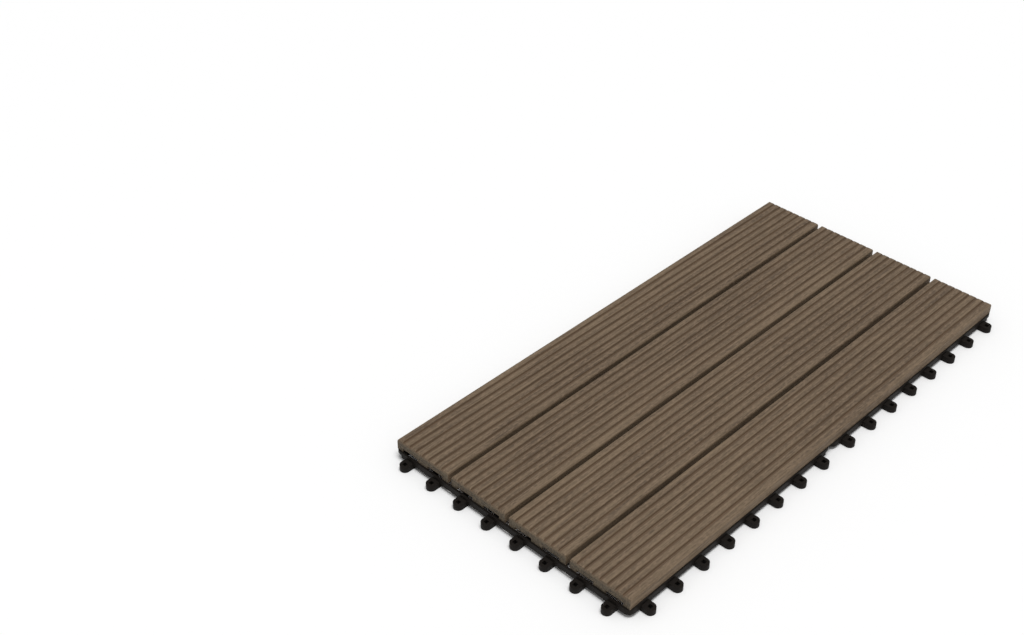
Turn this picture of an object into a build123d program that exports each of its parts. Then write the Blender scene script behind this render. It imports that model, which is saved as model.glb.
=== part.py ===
from build123d import *
from math import atan2, degrees, sqrt
import os

# Interlocking deck tile: four ridged composite boards, screwed from below onto two
# moulded base grids that click together at mid-length. Sizes are in millimetres.
# +X runs along the boards, +Y across them and +Z up from the ground. The tabs stand
# out on the -X and -Y edges, and the pegs that take a neighbour's tabs hang under the
# +X and +Y edges.

# Layout of the tile
module = 300.0  # pitch of the base grids, and of tiles laid side by side
base_names = ("near", "far")  # base grids in a row along X
base_gap = 3.0  # play between neighbouring base grids
side_ledge = 1.5  # rim of the base that shows beside the outer boards
end_ledge = 2.0  # rim of the base that shows beyond the boards' ends
board_count = 4  # boards side by side along Y
board_gap = 5.0  # drainage gap between boards

# Board, an extrusion along X
board_thickness = 12.0
edge_round = 2.5  # rounding of the two long top edges
end_round = 3.0  # rounding of the top edges at the two ends, cut as two flats
edge_ridge = 6.7  # from a long edge to the mouth of the nearest groove
groove_count = 7
groove_width = 3.6  # across the mouth
groove_floor = 1.6  # across the bottom
groove_depth = 1.6
leg_width = 7.5  # solid strip along each long edge of the underside
web_width = 14.0  # solid strip along the middle of the underside, which takes the screws
channel_depth = 3.5

# Base grid, one moulding
base_height = 10.0  # ground to the seat of the boards
foot_height = 3.5  # ground to the bottom of rim and ribs
rim_wall = 2.2
corner_round = 7.0  # rounding of the base's corners in plan
rib_wall = 2.0
rib_count = 6  # ribs each way, evenly spaced
foot_ribs = (0, 2, 3, 5)  # ribs that have feet under their crossings
foot_side = 8.0

# Tabs and pegs that click tiles together
link_count = 8  # on each side of a base grid
link_inset = 21.8  # from the module's corner to the first tab
link_reach = 4.5  # from the module's edge out to a tab's eye, and in to a peg
tab_width = 10.6
lip_thickness = 3.2  # plate over the pegs
peg_side = 3.4
peg_ground_gap = 1.0  # peg's tip to the ground
link_play = 0.3  # between a tab and the peg, lip and wall round it

# Screws, and the pads of the base that they pass through
screw_cells = (1, 5)  # cells of the grid, counted along X, that hold screws
screw_radius = 1.6  # to the flats of the shank
head_radius = 3.6  # to the flats of the head
screw_sides = 8  # flats that stand for the round of a screw and of its holes
screw_cover = 2.4  # board left between a screw's tip and the groove above it
screw_play = 0.1  # round a screw in its holes
pad_width = 13.0
pad_thickness = 3.0  # filled by the screw's tapered head

# Worked-out sizes of the tile
base_count = len(base_names)
base_side = module - base_gap
base_half = base_side / 2
tile_length = base_count * module - base_gap
board_length = tile_length - 2 * end_ledge
board_field = base_side - 2 * side_ledge
board_width = (board_field - (board_count - 1) * board_gap) / board_count
board_pitch = board_width + board_gap
groove_pitch = (board_width - 2 * edge_ridge - groove_width) / (groove_count - 1)
end_flat = end_round * (1 - sqrt(0.5))  # from an end and from the top to where the two flats meet
channel_width = (board_width - 2 * leg_width - web_width) / 2
channel_offset = (web_width + channel_width) / 2
screw_head = base_height - pad_thickness  # height of the flat of a screw's head
board_top = base_height + board_thickness
screw_tip = board_top - groove_depth - screw_cover
head_taper = degrees(atan2(head_radius - screw_radius, pad_thickness))

# Worked-out sizes of the base grid
tab_end = tab_width / 2
tab_eye = peg_side + 2 * link_play
tab_thickness = base_height - lip_thickness - link_play
tab_tip = link_reach + tab_end + base_gap / 2  # how far a tab stands out of the rim
socket_depth = link_reach + tab_end + link_play - base_gap / 2
grid_side = base_side - socket_depth
grid_centre = -socket_depth / 2
rib_pitch = (grid_side - rim_wall) / (rib_count + 1)
link_pitch = (module - 2 * link_inset) / (link_count - 1)
peg_place = module / 2 - link_reach
eye_place = module / 2 + link_reach
peg_length = base_height - lip_thickness - peg_ground_gap

# Places along a side of one base grid, from its centre
link_places = [(i - (link_count - 1) / 2) * link_pitch for i in range(link_count)]
rib_places = [grid_centre + (i - (rib_count - 1) / 2) * rib_pitch for i in range(rib_count)]
foot_places = [rib_places[i] for i in foot_ribs]
board_places = [(i - (board_count - 1) / 2) * board_pitch for i in range(board_count)]
screw_places = [grid_centre + (cell - rib_count / 2) * rib_pitch for cell in screw_cells]
base_places = [(i - (base_count - 1) / 2) * module for i in range(base_count)]
pad_places = [(x, y) for x in screw_places for y in board_places]

# The row's origin is under the middle of the footprint, tabs included.
to_origin = Location((tab_tip / 2, tab_tip / 2, 0))


def screw_form(play=0.0):
    """A screw, point up, with its head flush under a pad; with play, the room that it takes up."""
    with BuildPart() as form:
        with BuildSketch(Plane.XY.offset(screw_head)):
            RegularPolygon(head_radius + play, screw_sides, major_radius=False)
        extrude(amount=pad_thickness, taper=head_taper)
        with BuildSketch(Plane.XY.offset(base_height)):
            RegularPolygon(screw_radius + play, screw_sides, major_radius=False)
        extrude(amount=screw_tip + play - base_height)
    return form.part


def make_board():
    """One board, centred on its own length and width, seated at the base's height."""
    with BuildPart() as board:
        # Section with rounded edges, grooves on top and channels below, run along X
        with BuildSketch(Plane.YZ.offset(-board_length / 2)) as section:
            with Locations((0, base_height)):
                Rectangle(board_width, board_thickness, align=(Align.CENTER, Align.MIN))
            fillet(section.vertices().group_by(Axis.Y)[-1], edge_round)
            with Locations((0, board_top)):
                with GridLocations(groove_pitch, 1, groove_count, 1):
                    Polygon(
                        (-groove_width / 2, 0),
                        (-groove_floor / 2, -groove_depth),
                        (groove_floor / 2, -groove_depth),
                        (groove_width / 2, 0),
                        align=None,
                        mode=Mode.SUBTRACT,
                    )
            with Locations((-channel_offset, base_height), (channel_offset, base_height)):
                Rectangle(
                    channel_width, channel_depth, align=(Align.CENTER, Align.MIN), mode=Mode.SUBTRACT
                )
        extrude(amount=board_length)

        # Rounding of the top edges at both ends
        with BuildSketch(Plane.XZ):
            Polygon(
                (board_length / 2, board_top),
                (board_length / 2 - end_round, board_top),
                (board_length / 2 - end_flat, board_top - end_flat),
                (board_length / 2, board_top - end_round),
                align=None,
            )
            mirror(about=Plane.YZ)
        extrude(amount=board_width, both=True, mode=Mode.SUBTRACT)

        # Holes for the screws
        with Locations(*[(base + place, 0) for base in base_places for place in screw_places]):
            add(screw_form(screw_play), mode=Mode.SUBTRACT)
    return board.part


def tab_outline():
    """A tab pointing to -X from the rim's inner face, with the eye for the peg."""
    root = base_half - rim_wall
    with BuildSketch() as outline:
        with Locations((-eye_place, 0)):
            Circle(tab_end)
            Rectangle(eye_place - root, tab_width, align=(Align.MIN, Align.CENTER))
            Rectangle(tab_eye, tab_eye, mode=Mode.SUBTRACT)
    return outline.sketch


def make_base():
    """One base grid, centred on its module, standing on the ground."""
    with BuildPart() as base:
        # Rim wall and ribs, set back from the two edges that overhang the pegs, with a
        # solid rounded corner between the two sides that have tabs
        with BuildSketch(Plane.XY.offset(foot_height)):
            with Locations((grid_centre, grid_centre)):
                Rectangle(grid_side, grid_side)
                Rectangle(grid_side - 2 * rim_wall, grid_side - 2 * rim_wall, mode=Mode.SUBTRACT)
            with Locations(*[(grid_centre, place) for place in rib_places]):
                Rectangle(grid_side - rim_wall, rib_wall)
            with Locations(*[(place, grid_centre) for place in rib_places]):
                Rectangle(rib_wall, grid_side - rim_wall)
            with Locations((-base_half, -base_half)):
                Rectangle(corner_round, corner_round, align=(Align.MIN, Align.MIN))
            RectangleRounded(base_side, base_side, corner_round, mode=Mode.INTERSECT)
        extrude(amount=base_height - foot_height)

        # Square feet under rib crossings, so that water drains beneath
        with BuildSketch():
            with Locations(*[(x, y) for x in foot_places for y in foot_places]):
                Rectangle(foot_side, foot_side)
        extrude(amount=foot_height)

        # Lip over the pegs along +X and +Y, from the wall out to the base's edge
        with BuildSketch(Plane.XY.offset(base_height - lip_thickness)):
            RectangleRounded(base_side, base_side, corner_round)
            with Locations((-base_half, -base_half)):
                inner = grid_side - rim_wall
                Rectangle(inner, inner, align=(Align.MIN, Align.MIN), mode=Mode.SUBTRACT)
        extrude(amount=lip_thickness)

        # Pegs hanging from the lip
        with BuildSketch(Plane.XY.offset(base_height - lip_thickness)):
            with Locations(*[(peg_place, place) for place in link_places]):
                Rectangle(peg_side, peg_side)
            with Locations(*[(place, peg_place) for place in link_places]):
                Rectangle(peg_side, peg_side)
        extrude(amount=-peg_length)

        # Tabs along -X and -Y
        with BuildSketch():
            with Locations(*[Location((0, place, 0)) for place in link_places]):
                add(tab_outline())
            with Locations(*[Location((place, 0, 0), (0, 0, 90)) for place in link_places]):
                add(tab_outline())
        extrude(amount=tab_thickness)

        # Pads between ribs for the screws, with tapered holes
        with BuildSketch(Plane.XY.offset(base_height - pad_thickness)):
            with Locations(*pad_places):
                Rectangle(rib_pitch, pad_width)
        extrude(amount=pad_thickness)
        with Locations(*pad_places):
            add(screw_form(screw_play), mode=Mode.SUBTRACT)
    return base.part


os.makedirs("parts", exist_ok=True)

board = make_board()
for number, place in enumerate(reversed(board_places), start=1):
    export_step(to_origin * Pos(0, place, 0) * board, f"parts/deck_board_{number}.step")

base = make_base()
for name, place in zip(base_names, base_places):
    export_step(to_origin * Pos(place, 0, 0) * base, f"parts/base_grid_{name}.step")

screw = screw_form()
screws = [to_origin * Pos(base + x, y, 0) * screw for base in base_places for x, y in pad_places]
export_step(Compound(children=screws), "parts/board_screws.step")
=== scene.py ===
# %% [markdown]
# # An interlocking deck tile
#
# The tile is a piece of outdoor floor: four ridged boards of wood-plastic composite, screwed
# from below onto two black moulded grids. Tabs along two edges click under the next tile.
#
# The solids come in as a fixed frame, in metres, with +X along the boards and +Z up. This
# lesson dresses them: it softens their edges, gives each real material its own finish, makes
# the screws in full, and sets up the floor, the light and the camera.

# %% Load the solids
import math

import bmesh
import bpy
from mathutils import Matrix, Vector


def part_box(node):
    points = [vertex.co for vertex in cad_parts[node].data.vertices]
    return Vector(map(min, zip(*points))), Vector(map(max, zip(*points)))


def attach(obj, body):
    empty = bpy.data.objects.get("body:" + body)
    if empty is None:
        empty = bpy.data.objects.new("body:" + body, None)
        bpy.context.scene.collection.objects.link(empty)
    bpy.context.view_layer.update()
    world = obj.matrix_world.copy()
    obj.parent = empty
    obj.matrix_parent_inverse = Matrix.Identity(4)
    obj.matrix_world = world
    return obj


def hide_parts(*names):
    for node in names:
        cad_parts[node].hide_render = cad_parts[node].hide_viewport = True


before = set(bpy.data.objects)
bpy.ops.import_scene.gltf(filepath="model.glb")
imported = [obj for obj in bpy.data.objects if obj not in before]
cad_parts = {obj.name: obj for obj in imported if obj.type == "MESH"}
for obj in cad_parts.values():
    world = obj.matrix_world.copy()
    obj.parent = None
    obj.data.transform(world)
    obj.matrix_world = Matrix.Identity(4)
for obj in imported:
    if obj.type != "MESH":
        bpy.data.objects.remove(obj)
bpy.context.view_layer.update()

MM = 0.001
boards = [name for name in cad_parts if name.startswith("deck_board")]
bases = [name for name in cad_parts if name.startswith("base_grid")]
print("boards", sorted(boards), "bases", sorted(bases))

# %% [markdown]
# ## Two small tools for materials
#
# Colours are written as the hex values that a paint program shows, which are sRGB, while
# shaders reckon in linear light. One function turns one into the other. A second adds a
# node to a material: keywords are the node's own settings, and `sockets` holds what goes
# into its inputs, either a constant or another node's output.

# %% Colour and node helpers
def linear(hex_colour):
    """A linear RGBA colour from an sRGB hex value such as "706250"."""
    channels = [int(hex_colour[i:i + 2], 16) / 255 for i in (0, 2, 4)]
    light = [c / 12.92 if c <= 0.04045 else ((c + 0.055) / 1.055) ** 2.4 for c in channels]
    return (*light, 1.0)


def add_node(tree, kind, sockets=None, **settings):
    """Add one node with its settings, and fill or link its input sockets."""
    node = tree.nodes.new(kind)
    for name, value in settings.items():
        setattr(node, name, value)
    for name, value in (sockets or {}).items():
        if isinstance(value, bpy.types.NodeSocket):
            tree.links.new(value, node.inputs[name])
        else:
            node.inputs[name].default_value = value
    return node


def new_material(name):
    """An empty node material, with its tree and the principled shader that it shows."""
    material = bpy.data.materials.new(name)
    material.use_nodes = True
    tree = material.node_tree
    return material, tree, tree.nodes["Principled BSDF"]


# %% [markdown]
# ## Wood-plastic composite, extruded, with sanded ridges
#
# The boards are wood flour and polyethylene, pushed hot through a die. The die leaves a dark,
# slightly waxy skin, and in the grooves its colour is darkened further as painted shade. The
# ridges are then sanded along the board, which opens the skin and shows paler wood flour in
# long fine streaks. The long sides are painted a little paler, as painted light, and the mix is
# never quite even, so the shade drifts slowly along a board. The ends are sawn, so they show
# no streaks but a speckle of flour in plastic, on a colour painted darker as shade.
#
# A picture wrapped on the boards could give this look, but it would show its seams and blur
# close up. Noise that is stretched along X does the same at any distance.
#
# ### Where each finish lies
#
# The places of skin and edges come from the section of the die: seven grooves on each board,
# at an even pitch, so a point's distance across the board from the nearest groove tells ridge
# from groove. The way that a face looks tells a sawn end.

# %% Masks for grooves, long edges and sawn ends
BOARD_GAP = 5.0 * MM  # drainage gap between boards
GROOVES = 7
GROOVE_WIDTH = 3.6 * MM
GROOVE_DEPTH = 1.6 * MM
EDGE_RIDGE = 6.7 * MM  # from a long edge to the nearest groove
EDGE_ROUND = 2.0 * MM  # width over which a ridge's shade turns into an edge's
SAWN_FROM = 0.85  # how squarely a face looks along the board before it counts as sawn
SAWN_TO = 0.99

BOARD_LOW, BOARD_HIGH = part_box(boards[0])
BOARD_MIDDLE = (BOARD_LOW.y + BOARD_HIGH.y) / 2
BOARD_WIDTH = BOARD_HIGH.y - BOARD_LOW.y
BOARD_PITCH = BOARD_WIDTH + BOARD_GAP
RIDGE_TOP = max(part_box(name)[1].z for name in boards)
GROOVE_PITCH = (BOARD_WIDTH - 2 * EDGE_RIDGE - GROOVE_WIDTH) / (GROOVES - 1)
GROOVE_FIELD = GROOVES / 2 * GROOVE_PITCH  # half the width that the grooves take up
SKIN_FROM = GROOVE_WIDTH / 2  # skin begins at a groove's lip
SKIN_TO = 0.7 * SKIN_FROM  # and is whole on its flank
SKIN_BELOW = 1.1 * GROOVE_DEPTH  # from the ridges' tops to just under the grooves' floors
EDGE_TO = BOARD_WIDTH / 2
EDGE_FROM = EDGE_TO - EDGE_ROUND


def board_masks(tree, place):
    """How far each point is groove skin with painted shade, long side with painted light and sawn
    end with painted shade, from 0 to 1.
    """
    facing = add_node(tree, "ShaderNodeNewGeometry").outputs["Normal"]
    spot = add_node(tree, "ShaderNodeSeparateXYZ", {0: place})
    slope = add_node(tree, "ShaderNodeSeparateXYZ", {0: facing})

    # Distances across the board, from its middle and from the nearest groove
    across = add_node(tree, "ShaderNodeMath", {
        0: spot.outputs["Y"], 1: BOARD_MIDDLE,
    }, operation="SUBTRACT").outputs[0]
    on_board = add_node(tree, "ShaderNodeMath", {
        0: across, 1: BOARD_PITCH / 2, 2: -BOARD_PITCH / 2,
    }, operation="WRAP").outputs[0]
    on_groove = add_node(tree, "ShaderNodeMath", {
        0: on_board, 1: GROOVE_PITCH / 2, 2: -GROOVE_PITCH / 2,
    }, operation="WRAP").outputs[0]
    off_groove = add_node(tree, "ShaderNodeMath", {0: on_groove}, operation="ABSOLUTE").outputs[0]
    off_board = add_node(tree, "ShaderNodeMath", {0: on_board}, operation="ABSOLUTE").outputs[0]

    # Skin, and painted shade in the grooves: near a groove, within the grooved width, and not on the
    # underside
    inside = add_node(tree, "ShaderNodeMapRange", {
        "Value": off_groove, "From Min": SKIN_FROM, "From Max": SKIN_TO,
    }, interpolation_type="SMOOTHSTEP").outputs["Result"]
    in_field = add_node(tree, "ShaderNodeMath", {
        0: off_board, 1: GROOVE_FIELD,
    }, operation="LESS_THAN").outputs[0]
    above = add_node(tree, "ShaderNodeMath", {
        0: spot.outputs["Z"], 1: RIDGE_TOP - SKIN_BELOW,
    }, operation="GREATER_THAN").outputs[0]
    groove = add_node(tree, "ShaderNodeMath", {
        0: inside, 1: in_field,
    }, operation="MULTIPLY").outputs[0]
    groove = add_node(tree, "ShaderNodeMath", {
        0: groove, 1: above,
    }, operation="MULTIPLY").outputs[0]

    # Long sides, which get a paler colour as painted light
    edge = add_node(tree, "ShaderNodeMapRange", {
        "Value": off_board, "From Min": EDGE_FROM, "From Max": EDGE_TO,
    }).outputs["Result"]
    # Faces that look along the board are sawn ends, whose colour is painted darker as shade
    end_on = add_node(tree, "ShaderNodeMath", {
        0: slope.outputs["X"],
    }, operation="ABSOLUTE").outputs[0]
    sawn = add_node(tree, "ShaderNodeMapRange", {
        "Value": end_on, "From Min": SAWN_FROM, "From Max": SAWN_TO,
    }).outputs["Result"]
    return groove, edge, sawn


print(GROOVES, "grooves at a pitch of", round(GROOVE_PITCH / MM, 2), "mm")
print("ridge tops at", round(RIDGE_TOP / MM, 2), "mm")

# %% [markdown]
# ### Drift, streaks, flour and speckle
#
# Sanding draws the flour out into streaks a few centimetres long, with single flakes of a few
# millimetres between them. All are noise: the same pattern, stretched by different lengths
# along and across the board. On a sawn end the flakes are cut across, so their noise isn't
# stretched.

# %% Patterns of the composite
DRIFT_LONG = 300 * MM
DRIFT_WIDE = 70 * MM  # about a board's width, so that boards differ
STREAK_LONG = 60 * MM
STREAK_WIDE = 1.6 * MM  # finer on the board: drawn this wide so that it shows
FLOUR_LONG = 5.0 * MM
FLOUR_WIDE = 1.6 * MM  # as the streaks, a little coarser than the real flour
SPECKLE = 1.8 * MM  # coarser than the real specks too


def board_patterns(tree, place):
    """Noise for the slow drift of shade, the streaks, the flour and the ends' speckle."""
    slow = add_node(tree, "ShaderNodeMapping", {
        "Vector": place, "Scale": (1 / DRIFT_LONG, 1 / DRIFT_WIDE, 1 / DRIFT_WIDE),
    }).outputs[0]
    drift = add_node(tree, "ShaderNodeTexNoise", {
        "Vector": slow, "Scale": 1.0, "Detail": 1.0,
    }).outputs[0]
    along = add_node(tree, "ShaderNodeMapping", {
        "Vector": place, "Scale": (1 / STREAK_LONG, 1 / STREAK_WIDE, 1 / STREAK_WIDE),
    }).outputs[0]
    streaks = add_node(tree, "ShaderNodeTexNoise", {
        "Vector": along, "Scale": 1.0, "Detail": 5.0, "Roughness": 0.6,
    }).outputs[0]
    grains = add_node(tree, "ShaderNodeMapping", {
        "Vector": place, "Scale": (1 / FLOUR_LONG, 1 / FLOUR_WIDE, 1 / FLOUR_WIDE),
    }).outputs[0]
    flour = add_node(tree, "ShaderNodeTexNoise", {
        "Vector": grains, "Scale": 1.0, "Detail": 4.0, "Roughness": 0.6,
    }).outputs[0]
    speckle = add_node(tree, "ShaderNodeTexNoise", {
        "Vector": place, "Scale": 1 / SPECKLE, "Detail": 3.0, "Roughness": 0.7,
    }).outputs[0]
    return drift, streaks, flour, speckle


print("streaks", round(STREAK_LONG / MM), "mm long, flakes", round(FLOUR_LONG / MM), "mm")

# %% [markdown]
# ### Colour, gloss and relief
#
# The colours go on in the order in which the board is made: streaked composite, with a paler
# copy on the long sides as painted light; flakes of flour opened by the sander; the skin that
# it didn't reach, darkened in the grooves by painted shade as well; and last the sawn ends,
# whose colour is painted darker as shade. Noise keeps mostly between 0.3 and 0.7, so that range
# is spread over each pair of colours. The skin is smoother than the sanded ridges, and the
# flour stands up a little from the plastic.

# %% Composite board material
FACTOR, COLOUR_A, COLOUR_B = 0, 6, 7  # inputs of a colour mix, whose names repeat
VALUE_A, VALUE_B = 2, 3  # inputs of a mix of plain values
MIXED = 2  # output of a colour mix
NOISE_LOW, NOISE_HIGH = 0.3, 0.7
DRIFT_SHARE = 0.15  # how far the drift moves a streak's shade, each way
SANDED_ROUGHNESS = 0.78
SKIN_ROUGHNESS = 0.6


def composite_board():
    """Matt grey-brown ridges with long streaks, long sides painted paler as light, grooves dark from
    waxy skin and painted shade, and speckled sawn ends painted darker as shade.
    """
    material, tree, shader = new_material("wood_plastic_composite_extruded_sanded")
    place = add_node(tree, "ShaderNodeTexCoord").outputs["Object"]
    groove, edge, sawn = board_masks(tree, place)
    drift, streaks, flour, speckle = board_patterns(tree, place)

    # Streaked composite on the ridges, and a paler copy of it on the long sides as painted light
    shift = add_node(tree, "ShaderNodeMapRange", {
        "Value": drift, "From Min": NOISE_LOW, "From Max": NOISE_HIGH,
        "To Min": DRIFT_SHARE, "To Max": -DRIFT_SHARE,
    }).outputs["Result"]
    streak = add_node(tree, "ShaderNodeMapRange", {
        "Value": streaks, "From Min": NOISE_LOW, "From Max": NOISE_HIGH,
    }).outputs["Result"]
    streak = add_node(tree, "ShaderNodeMath", {0: streak, 1: shift}, operation="ADD").outputs[0]
    top = add_node(tree, "ShaderNodeMix", {
        FACTOR: streak, COLOUR_A: linear("493a2b"), COLOUR_B: linear("76644e"),
    }, data_type="RGBA").outputs[MIXED]
    painted_side_light = add_node(tree, "ShaderNodeMix", {
        FACTOR: streak, COLOUR_A: linear("51402d"), COLOUR_B: linear("816e57"),
    }, data_type="RGBA").outputs[MIXED]
    pale = add_node(tree, "ShaderNodeMix", {
        FACTOR: edge, COLOUR_A: top, COLOUR_B: painted_side_light,
    }, data_type="RGBA").outputs[MIXED]

    # Flakes of flour, then the skin in the grooves, whose darker colour is partly its own and partly
    # painted shade
    fleck = add_node(tree, "ShaderNodeMapRange", {
        "Value": flour, "From Min": 0.45, "From Max": 0.75, "To Max": 0.8,
    }).outputs["Result"]
    sanded = add_node(tree, "ShaderNodeMix", {
        FACTOR: fleck, COLOUR_A: pale, COLOUR_B: linear("846f5a"),
    }, data_type="RGBA").outputs[MIXED]
    skin_and_groove_shade = add_node(tree, "ShaderNodeMix", {
        FACTOR: streak, COLOUR_A: linear("503e2b"), COLOUR_B: linear("644f3a"),
    }, data_type="RGBA").outputs[MIXED]
    with_skin_and_groove_shade = add_node(tree, "ShaderNodeMix", {
        FACTOR: groove, COLOUR_A: sanded, COLOUR_B: skin_and_groove_shade,
    }, data_type="RGBA").outputs[MIXED]

    # Sawn ends: a speckle of flour, on colours painted darker as shade
    flour_in_cut = add_node(tree, "ShaderNodeMapRange", {
        "Value": speckle, "From Min": NOISE_LOW, "From Max": NOISE_HIGH,
    }).outputs["Result"]
    cut = add_node(tree, "ShaderNodeMix", {
        FACTOR: flour_in_cut, COLOUR_A: linear("342b22"), COLOUR_B: linear("6d604c"),
    }, data_type="RGBA").outputs[MIXED]
    colour = add_node(tree, "ShaderNodeMix", {
        FACTOR: sawn, COLOUR_A: with_skin_and_groove_shade, COLOUR_B: cut,
    }, data_type="RGBA").outputs[MIXED]
    tree.links.new(colour, shader.inputs["Base Color"])

    # Gloss and relief
    sheen = add_node(tree, "ShaderNodeMapRange", {
        "Value": groove, "To Min": SANDED_ROUGHNESS, "To Max": SKIN_ROUGHNESS,
    }).outputs["Result"]
    tree.links.new(sheen, shader.inputs["Roughness"])
    relief = add_node(tree, "ShaderNodeMix", {
        FACTOR: sawn, VALUE_A: flour, VALUE_B: speckle,
    }).outputs[0]
    bump = add_node(tree, "ShaderNodeBump", {
        "Height": relief, "Strength": 0.6, "Distance": 0.12 * MM,
    }).outputs[0]
    tree.links.new(bump, shader.inputs["Normal"])
    shader.inputs["IOR"].default_value = 1.5
    return material


board_finish = composite_board()
print("board finish", board_finish.name)

# %% [markdown]
# ## Black polypropylene, moulded matt
#
# The grids are injection moulded in black polypropylene. The mould was spark-eroded, so the
# plastic is matt with a fine grain, and only its edges catch the light. A plain dark colour
# would look like a hole in the picture, so a little grain goes into the gloss and the relief.

# %% Base plastic material
GRAIN = 0.8 * MM  # a few times the real grain, so that it shows


def moulded_plastic():
    """Matt near-black with a fine even grain."""
    material, tree, shader = new_material("polypropylene_black_moulded")
    place = add_node(tree, "ShaderNodeTexCoord").outputs["Object"]
    grain = add_node(tree, "ShaderNodeTexNoise", {
        "Vector": place, "Scale": 1 / GRAIN, "Detail": 2.0, "Roughness": 0.6,
    }).outputs[0]
    colour = add_node(tree, "ShaderNodeMix", {
        FACTOR: grain, COLOUR_A: linear("171412"), COLOUR_B: linear("221e1b"),
    }, data_type="RGBA").outputs[MIXED]
    tree.links.new(colour, shader.inputs["Base Color"])
    gloss = add_node(tree, "ShaderNodeMapRange", {
        "Value": grain, "To Min": 0.45, "To Max": 0.62,
    }).outputs["Result"]
    tree.links.new(gloss, shader.inputs["Roughness"])
    bump = add_node(tree, "ShaderNodeBump", {
        "Height": grain, "Strength": 0.8, "Distance": 0.1 * MM,
    }).outputs[0]
    tree.links.new(bump, shader.inputs["Normal"])
    shader.inputs["IOR"].default_value = 1.49
    # The grain swallows most of the sheen
    shader.inputs["Specular IOR Level"].default_value = 0.08
    return material


base_finish = moulded_plastic()
print("base finish", base_finish.name)

# %% [markdown]
# ## Steel, zinc plated
#
# The screws are steel with a bright zinc coat. It is a metal, so its colour is the colour of
# its reflections, and a cloudy variation in the gloss stands for the crystals of the coat.

# %% Screw material
CLOUD = 1.5 * MM  # coarser than the coat's crystals, so that it shows


def zinc_plate():
    """Bright, nearly neutral grey metal with a cloudy gloss."""
    material, tree, shader = new_material("steel_zinc_plated")
    place = add_node(tree, "ShaderNodeTexCoord").outputs["Object"]
    cloud = add_node(tree, "ShaderNodeTexNoise", {
        "Vector": place, "Scale": 1 / CLOUD, "Detail": 3.0,
    }).outputs[0]
    gloss = add_node(tree, "ShaderNodeMapRange", {
        "Value": cloud, "To Min": 0.25, "To Max": 0.45,
    }).outputs["Result"]
    tree.links.new(gloss, shader.inputs["Roughness"])
    colour = add_node(tree, "ShaderNodeMix", {
        FACTOR: cloud, COLOUR_A: linear("bfbfba"), COLOUR_B: linear("d3d3ce"),
    }, data_type="RGBA").outputs[MIXED]
    tree.links.new(colour, shader.inputs["Base Color"])
    shader.inputs["Metallic"].default_value = 1.0
    return material


screw_finish = zinc_plate()
print("screw finish", screw_finish.name)

# %% [markdown]
# ## Soft edges on boards and grids
#
# No real edge is sharp: the die rounds the ridges, and the mould the ribs. A bevel on the
# solids catches the light as those edges do. The solids come in with each face apart, so
# the faces are first welded, and the flat ones joined, to let the bevel run clean. Modifiers
# do all this without touching the solid underneath.

# %% Bevels
BOARD_BEVEL = 0.6 * MM
BASE_BEVEL = 0.3 * MM
WELD_REACH = 0.01 * MM
FLAT_ANGLE = math.radians(1)  # faces that turn less than this are joined
EDGE_ANGLE = math.radians(25)  # edges that turn more than this are rounded


def soften(node, width, finish):
    """Weld a solid's faces, round its edges by that width and give it a finish."""
    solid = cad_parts[node]
    weld = solid.modifiers.new("weld faces", "WELD")
    weld.merge_threshold = WELD_REACH
    join = solid.modifiers.new("join flat faces", "DECIMATE")
    join.decimate_type = "DISSOLVE"
    join.angle_limit = FLAT_ANGLE
    edge = solid.modifiers.new("round edges", "BEVEL")
    edge.width = width
    edge.segments = 3
    edge.limit_method = "ANGLE"
    edge.angle_limit = EDGE_ANGLE
    solid.material_slots[0].material = finish


for name in boards:
    soften(name, BOARD_BEVEL, board_finish)
for name in bases:
    soften(name, BASE_BEVEL, base_finish)
print("softened", len(boards) + len(bases), "solids")

# %% [markdown]
# ## Screws
#
# Each board is held by screws from below, with their heads sunk in the grid's pads. The
# solids only hold their places, with plain flats, so they are replaced here by turned screws:
# a flat head with a cross recess, a tapered neck and a threaded shank. The places come from
# the solids: the lowest points of each one are the rim of its head.

# %% Screw places
HEAD_LEVEL = 0.01 * MM  # points this near the lowest one belong to a head's flat
HEAD_REACH = 10 * MM  # more than a head is wide, and less than screws are apart


def screw_places(node):
    """The centre of each screw's head, from the lowest points of the solids."""
    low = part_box(node)[0].z
    heads = []
    for point in (v.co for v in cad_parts[node].data.vertices):
        if point.z > low + HEAD_LEVEL:
            continue
        for head in heads:
            if (head[0] - point).length < HEAD_REACH:
                head.append(point.copy())
                break
        else:
            heads.append([point.copy()])
    return [sum(head, Vector()) / len(head) for head in heads]


places = screw_places("board_screws")
print(len(places), "screws, the first at", [round(c / MM, 1) for c in places[0]], "mm")

# %% [markdown]
# ### Turning one screw
#
# The screw stands on its head with the point up, as it sits in the tile. Each ring of points
# has its own height and radius. On the shank, the radius also depends on the angle, so that
# the rings together make a thread that climbs one pitch a turn.

# %% Turn a screw
HEAD_RADIUS = 3.6 * MM
HEAD_LAND = 0.3 * MM  # height of the head's straight rim
NECK_HEIGHT = 3.0 * MM
SHANK_RADIUS = 1.55 * MM
THREAD_PITCH = 1.6 * MM
THREAD_DEPTH = 0.3 * MM
THREAD_FLANK = 1 / 3  # share of the pitch from a crest to the bottom of the thread
RINGS_A_TURN = 6
AROUND = 24


def screw_rings(length):
    """Height and radius of each ring from the head's flat to the tip; threaded rings say so."""
    rings = [(0.0, HEAD_RADIUS - HEAD_LAND / 2, False), (HEAD_LAND / 2, HEAD_RADIUS, False)]
    rings += [(HEAD_LAND, HEAD_RADIUS, False), (NECK_HEIGHT, SHANK_RADIUS - THREAD_DEPTH, False)]
    steps = int((length - NECK_HEIGHT) / THREAD_PITCH * RINGS_A_TURN)
    for i in range(1, steps):
        height = NECK_HEIGHT + (length - NECK_HEIGHT) * i / steps
        rings.append((height, SHANK_RADIUS, True))
    rings.append((length, SHANK_RADIUS - 2 * THREAD_DEPTH, False))
    return rings


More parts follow.
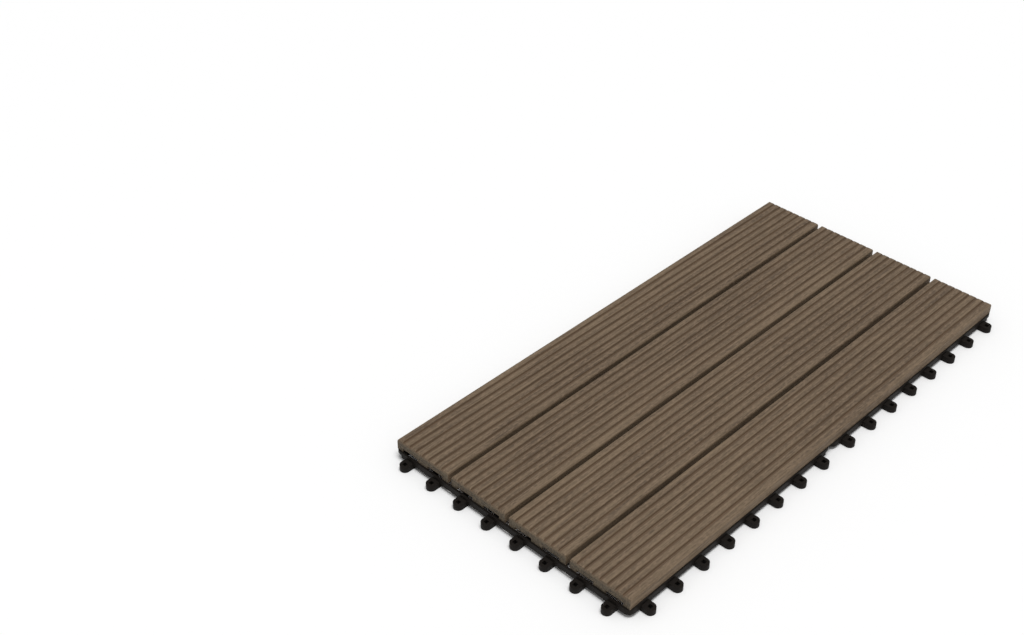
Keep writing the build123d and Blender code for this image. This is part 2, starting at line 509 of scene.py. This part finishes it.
def turned_screw(rings):
    """A closed mesh of those rings, with a thread where they ask for one."""
    mesh = bmesh.new()
    loops = []
    for height, radius, threaded in rings:
        loop = []
        for i in range(AROUND):
            turn = i / AROUND
            phase = (height / THREAD_PITCH - turn) % 1.0
            off_crest = abs(phase - 0.5) / THREAD_FLANK
            cut = THREAD_DEPTH * min(1.0, off_crest) if threaded else 0.0
            angle = 2 * math.pi * turn
            spot = ((radius - cut) * math.cos(angle), (radius - cut) * math.sin(angle), height)
            loop.append(mesh.verts.new(spot))
        loops.append(loop)
    for lower, upper in zip(loops, loops[1:]):
        for i in range(AROUND):
            j = (i + 1) % AROUND
            mesh.faces.new((lower[i], lower[j], upper[j], upper[i]))
    mesh.faces.new(reversed(loops[0]))
    mesh.faces.new(loops[-1])
    return mesh


def as_object(name, mesh):
    """Put a bmesh into the scene as an object of that name."""
    data = bpy.data.meshes.new(name)
    mesh.to_mesh(data)
    mesh.free()
    piece = bpy.data.objects.new(name, data)
    bpy.context.scene.collection.objects.link(piece)
    return piece


low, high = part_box("board_screws")
blank = as_object("screw_blank", turned_screw(screw_rings(high.z - low.z)))
print("a screw", round((high.z - low.z) / MM, 1), "mm long with", len(blank.data.vertices), "points")

# %% [markdown]
# ### Cross recess
#
# A punch presses the recess into the head when the screw is made. Here the punch is two
# crossed bars that narrow towards their tips, and a boolean takes them out of the head. The
# bars start outside the head, so that the cut is clean at its face.

# %% Cut the recess
RECESS_DEPTH = 1.7 * MM
RECESS_START = -0.5 * RECESS_DEPTH
RECESS_ARM = (2.2 * MM, 1.0 * MM)  # half length of a bar, outside the head and at the bottom
RECESS_SLOT = (0.55 * MM, 0.4 * MM)  # half width there


def recess_cutter():
    """Two crossed bars that narrow towards the bottom of the recess."""
    mesh = bmesh.new()
    for turn in (0.0, math.pi / 2):
        corners = []
        for height, arm, slot in zip((RECESS_START, RECESS_DEPTH), RECESS_ARM, RECESS_SLOT):
            for x, y in ((-arm, -slot), (arm, -slot), (arm, slot), (-arm, slot)):
                corner = Matrix.Rotation(turn, 4, "Z") @ Vector((x, y, height))
                corners.append(mesh.verts.new(corner))
        bottom, top = corners[:4], corners[4:]
        mesh.faces.new(reversed(bottom))
        mesh.faces.new(top)
        for i in range(4):
            j = (i + 1) % 4
            mesh.faces.new((bottom[i], bottom[j], top[j], top[i]))
    return mesh


cutter = as_object("recess_cutter", recess_cutter())
drive = blank.modifiers.new("cross recess", "BOOLEAN")
drive.object = cutter
drive.operation = "DIFFERENCE"
drive.solver = "EXACT"
drive.use_self = True
bpy.context.view_layer.update()
depsgraph = bpy.context.evaluated_depsgraph_get()
finished = bpy.data.meshes.new_from_object(blank.evaluated_get(depsgraph))
for helper in (blank, cutter):
    bpy.data.objects.remove(helper)
print("a screw with its recess has", len(finished.polygons), "faces")

# %% [markdown]
# ### All the screws
#
# The finished screw is copied to each place, and the copies make one piece, which takes the
# place of the plain solids.

# %% Place the screws
all_screws = bmesh.new()
for place in places:
    start = len(all_screws.verts)
    all_screws.from_mesh(finished)
    all_screws.verts.ensure_lookup_table()
    for vert in all_screws.verts[start:]:
        vert.co += Vector((place.x, place.y, low.z))
screws = as_object("cross_recess_screws", all_screws)
screws.data.materials.append(screw_finish)
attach(screws, "root")
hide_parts("board_screws")
print("turned", len(places), "screws with", len(screws.data.polygons), "faces in all")

# %% [markdown]
# ## Floor
#
# The tile lies on a plain white ground, wide enough to fill the picture. Its colour alone
# makes it white, and the tile's own soft shadow falls on it.

# %% White ground
FLOOR_SIDE = 40.0  # metres


def white_ground():
    """Matt white paper that shows nothing but the shadow."""
    material, _, shader = new_material("studio_ground_matt_white")
    shader.inputs["Base Color"].default_value = linear("fbfbfb")
    shader.inputs["Roughness"].default_value = 0.9
    return material


sheet = bmesh.new()
bmesh.ops.create_grid(sheet, x_segments=1, y_segments=1, size=FLOOR_SIDE / 2)
ground = as_object("ground", sheet)
ground.data.materials.append(white_ground())
print("ground", FLOOR_SIDE, "m square")

# %% [markdown]
# ## Light
#
# Plain soft studio light: an even surround gives nearly half of it, and one broad light
# overhead, tilted a little towards the long edge with tabs, gives the rest. The broad light is
# made as a sun with a wide disc, because that lights the whole ground evenly, as a large
# softbox far away does. It stands so high that it hardly reaches the ground that is seen
# through the channels at the boards' ends, and they stay dark. Together they light a level
# surface so that a colour shows about as it is written.

# %% Surround and key light
SURROUND = 0.45
KEY_STRENGTH = 1.89
KEY_DISC = math.radians(30)
KEY_FROM = Vector((0.0, -0.15, 1.0))

world = bpy.data.worlds.new("studio")
bpy.context.scene.world = world
world.use_nodes = True
surround = world.node_tree.nodes["Background"]
surround.inputs["Color"].default_value = linear("ffffff")
surround.inputs["Strength"].default_value = SURROUND

key_data = bpy.data.lights.new("soft_key", "SUN")
key_data.energy = KEY_STRENGTH
key_data.angle = KEY_DISC
key = bpy.data.objects.new("soft_key", key_data)
key.rotation_euler = (-KEY_FROM).to_track_quat("-Z", "Y").to_euler()
bpy.context.scene.collection.objects.link(key)
level = SURROUND + KEY_STRENGTH * KEY_FROM.normalized().z / math.pi
print("a level white surface shows at", round(level, 2))

# %% [markdown]
# ## Camera
#
# The tile is seen from above its tabbed corner, about 37 degrees up, with a 52 mm lens on a
# 36 mm frame. The camera is level and aims past the tile's middle, so the tile sits to the
# right of the picture.

# %% Camera
CAMERA_PLACE = Vector((-0.9756, -0.6714, 0.9670))
CAMERA_AIM = Vector((-0.0646, 0.2206, 0.0100))
CAMERA_LENS = 52.2  # millimetres, as is the frame
CAMERA_FRAME = 36.0

camera_data = bpy.data.cameras.new("camera")
camera_data.sensor_width = CAMERA_FRAME
camera_data.sensor_fit = "HORIZONTAL"
camera_data.lens = CAMERA_LENS
camera = bpy.data.objects.new("camera", camera_data)
camera.location = CAMERA_PLACE
camera.rotation_euler = (CAMERA_AIM - CAMERA_PLACE).to_track_quat("-Z", "Y").to_euler()
bpy.context.scene.collection.objects.link(camera)
bpy.context.scene.camera = camera
bpy.context.scene.view_settings.view_transform = "Standard"
print("camera", round((CAMERA_AIM - CAMERA_PLACE).length, 2), "m from its aim")
